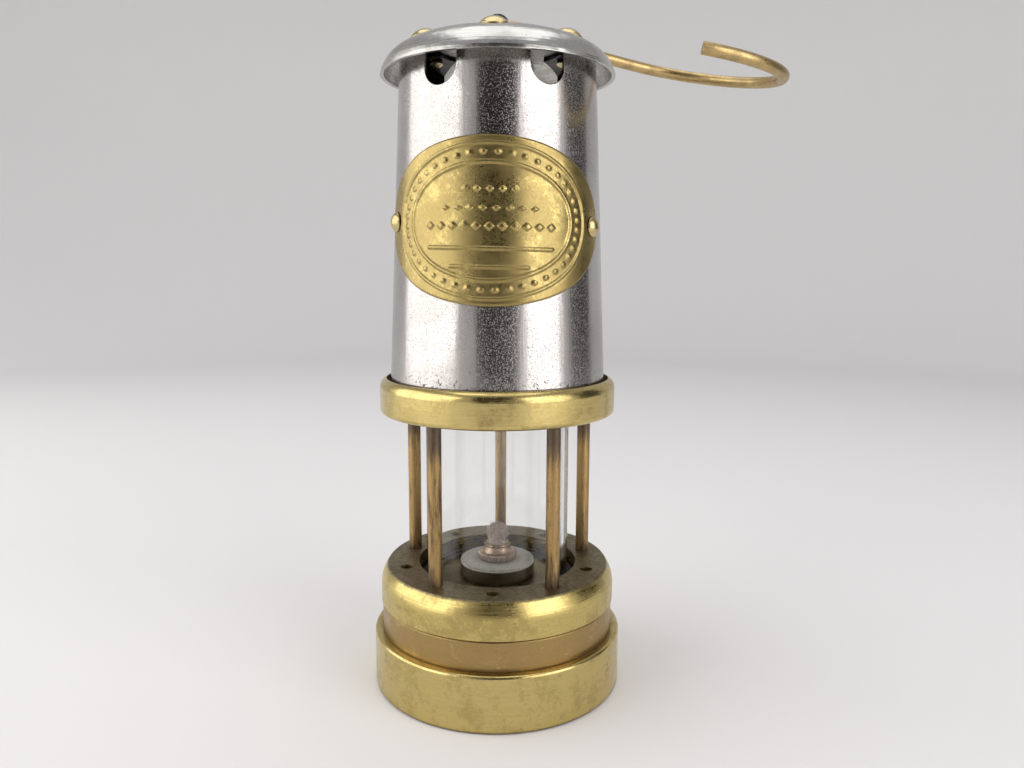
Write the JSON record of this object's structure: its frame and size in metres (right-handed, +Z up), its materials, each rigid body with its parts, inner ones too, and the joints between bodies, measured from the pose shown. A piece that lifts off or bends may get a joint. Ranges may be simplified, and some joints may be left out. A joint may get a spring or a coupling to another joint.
{
  "type": "miner's flame safety lamp",
  "caption": "Bonneted oil safety lamp: round fuel vessel, wick burner, glass inside pillars, slotted steel bonnet with a blank plate, domed cap and folding wire hook.",
  "frame": {"origin": "centre of the underside of the fuel vessel, where the lamp stands", "axes": "+Z up the lamp's axis; the nameplate faces -Y; the folded hook lies towards +X"},
  "size_m": [0.1204, 0.076, 0.1981],
  "materials": {
    "polished_brass": "satin polished brass with fine scratches",
    "rivet_brass": "worn polished brass",
    "hook_brass": "drawn brass wire, lightly tarnished",
    "aged_brass": "brown patinated brass, rubbed bright on its high places",
    "copper_brass": "dull mottled copper-coloured brass",
    "bonnet_steel": "worn satin tinned steel with fine dark speckle",
    "cap_steel": "polished steel with a fine grain",
    "gauze_steel": "dull woven wire",
    "lamp_glass": "clear, slightly dusty",
    "cotton": "twisted and frayed cotton",
    "pale_fibre": "pale pressed fibre",
    "seal_rubber": "dull black"
  },
  "bodies": {
    "vessel": {"fuel_vessel": "polished_brass", "vessel_neck": "copper_brass", "vessel_spigot": "aged_brass", "fuel_wadding": "cotton", "burner_boss": "aged_brass", "burner_washer": "pale_fibre", "lower_glass_seal": "seal_rubber", "glass": "lamp_glass"},
    "gauze_set": {"upper_glass_seal": "seal_rubber", "gauze_flange": "gauze_steel", "gauze_tube": "gauze_steel", "gauze_cap": "gauze_steel"},
    "frame": {"pillar_ring": "aged_brass", "pillar_1": "aged_brass", "pillar_2": "aged_brass", "pillar_3": "aged_brass", "pillar_4": "aged_brass", "pillar_5": "aged_brass", "pillar_tips": "aged_brass", "middle_ring": "polished_brass", "bonnet": "bonnet_steel", "cap": "cap_steel", "cap_rivets": "rivet_brass", "nameplate": "polished_brass", "plate_rivets": "rivet_brass", "hook_saddle": "cap_steel", "saddle_rivets": "rivet_brass"},
    "hook": {"hook": "hook_brass"},
    "wick_set": {"wick_tube": "polished_brass", "wick": "cotton"},
    "wick_nut": {"wick_nut": "polished_brass"}
  },
  "joints": [
    {"name": "frame_rise", "type": "slide", "parent": "vessel", "child": "gauze_set", "axis": [0, 0, 1], "range_m": [0, 0.006]},
    {"name": "frame_turn", "type": "hinge", "parent": "gauze_set", "child": "frame", "pos_m": [0, 0, 0.03], "axis": [0, 0, 1], "range_deg": [0, 1440]},
    {"name": "hook_fold", "type": "hinge", "parent": "frame", "child": "hook", "pos_m": [0, 0, 0.1947], "axis": [0, -1, 0], "range_deg": [0, 189]},
    {"name": "burner_rise", "type": "slide", "parent": "vessel", "child": "wick_set", "axis": [0, 0, 1], "range_m": [0, 0.004]},
    {"name": "burner_turn", "type": "hinge", "parent": "wick_set", "child": "wick_nut", "pos_m": [0, 0, 0.0385], "axis": [0, 0, 1], "range_deg": [0, 1440]}
  ],
  "couplings": [
    {"joint": "frame_rise", "follows": "frame_turn", "m_per_rad": 0.0002387},
    {"joint": "burner_rise", "follows": "burner_turn", "m_per_rad": 0.00015915}
  ]
}
